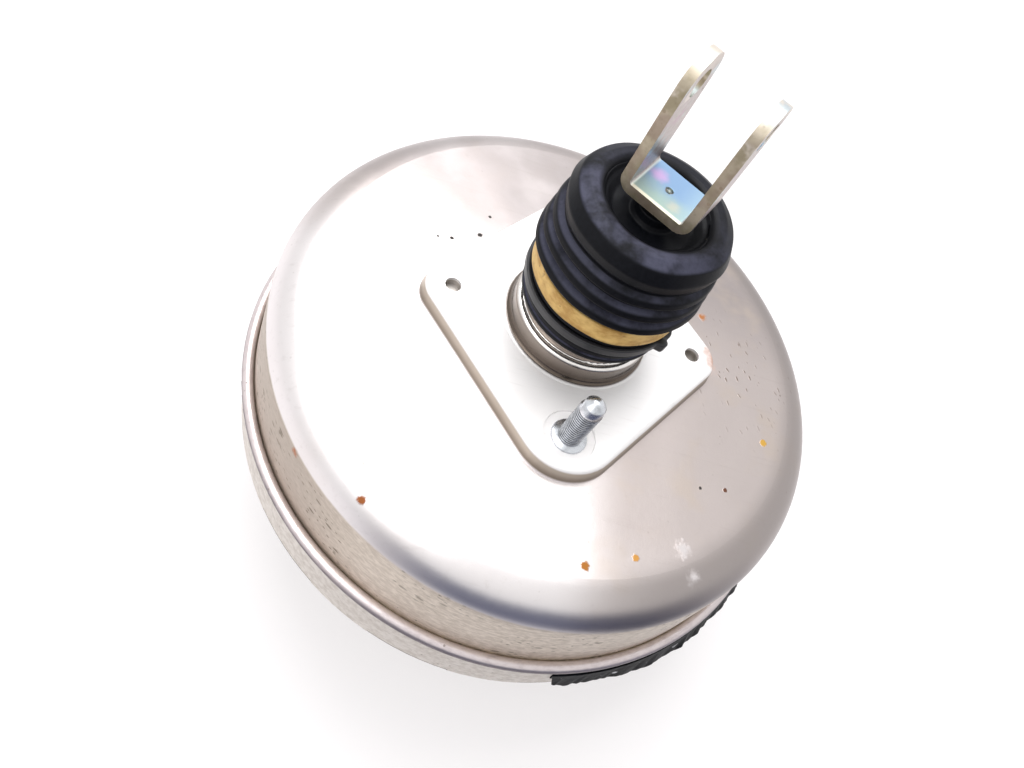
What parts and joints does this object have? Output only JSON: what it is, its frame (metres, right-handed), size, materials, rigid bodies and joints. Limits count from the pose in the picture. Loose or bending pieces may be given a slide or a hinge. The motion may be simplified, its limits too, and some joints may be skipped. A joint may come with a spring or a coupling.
{
  "type": "brake booster",
  "caption": "Round vacuum brake booster: crimped metal shell with a rhombic bulkhead face, studs, bellows dust boot and a forked pedal clevis.",
  "frame": {"origin": "centre of the bulkhead face, on the push rod's line", "axes": "+Z along the push rod towards the pedal, the two bulkhead studs on Y, the plain holes on X"},
  "size_m": [0.2656, 0.2662, 0.2844],
  "materials": {
    "shell_metal": "satin, dusty and stained",
    "zinc_steel": "zinc plated, slightly iridescent",
    "plain_steel": "plain",
    "spring_steel": "dark",
    "boot_rubber": "matt with a dusty sheen",
    "seal_rubber": "matt",
    "band_tan": "aged tan tape",
    "black_plastic": "matt",
    "valve_plastic": "moulded phenolic",
    "white_plastic": "moulded",
    "filter_foam": "open foam",
    "felt": "felt"
  },
  "bodies": {
    "shell": {"rear_shell": "shell_metal", "stud_plate": "plain_steel", "bulkhead_studs": "zinc_steel", "front_shell": "shell_metal", "front_plate": "plain_steel", "front_studs": "zinc_steel", "front_seal": "seal_rubber", "neck_seal": "seal_rubber", "seal_retainer": "plain_steel", "port_grommet": "seal_rubber", "dust_boot": "boot_rubber", "boot_band": "band_tan", "boot_strap": "black_plastic", "diaphragm": "seal_rubber", "return_spring": "spring_steel", "rim_film": "black_plastic"},
    "power_piston": {"valve_body": "valve_plastic", "piston_plate": "plain_steel", "reaction_disc": "seal_rubber", "output_rod": "zinc_steel", "output_tip": "zinc_steel", "rod_cap": "plain_steel", "stop_key": "plain_steel", "valve_rubber": "seal_rubber", "valve_keeper": "plain_steel", "rod_spring": "spring_steel", "valve_spring": "spring_steel", "silencer": "felt", "air_filter": "filter_foam"},
    "valve_plunger": {"plunger": "plain_steel"},
    "pedal_rod": {"push_rod": "zinc_steel", "clevis": "zinc_steel"},
    "vacuum_elbow": {"check_valve": "white_plastic", "check_cap": "white_plastic", "check_spring": "spring_steel"},
    "check_flap": {"check_disc": "seal_rubber"}
  },
  "joints": [
    {"name": "brake_stroke", "type": "slide", "parent": "shell", "child": "power_piston", "axis": [0, 0, -1], "range_m": [0, 0.028], "stiffness_N_per_m": 2500, "springref_m": -0.06, "deforming": ["return_spring", "dust_boot", "diaphragm"]},
    {"name": "input_travel", "type": "slide", "parent": "power_piston", "child": "valve_plunger", "axis": [0, 0, -1], "range_m": [0, 0.0015], "stiffness_N_per_m": 4000, "springref_m": -0.004, "deforming": ["rod_spring", "valve_spring"]},
    {"name": "rod_tilt", "type": "hinge", "parent": "valve_plunger", "child": "pedal_rod", "pos_m": [0, 0, 0], "axis": [0.8508, -0.5255, 0], "range_deg": [-3, 3], "stiffness_Nm_per_rad": 3},
    {"name": "elbow_swivel", "type": "hinge", "parent": "shell", "child": "vacuum_elbow", "pos_m": [0.08114, 0.02174, -0.1323], "axis": [0, 0, 1], "continuous": true},
    {"name": "check_lift", "type": "slide", "parent": "vacuum_elbow", "child": "check_flap", "axis": [0, 0, -1], "range_m": [0, 0.0015], "stiffness_N_per_m": 60, "springref_m": -0.004, "deforming": ["check_spring"]}
  ]
}
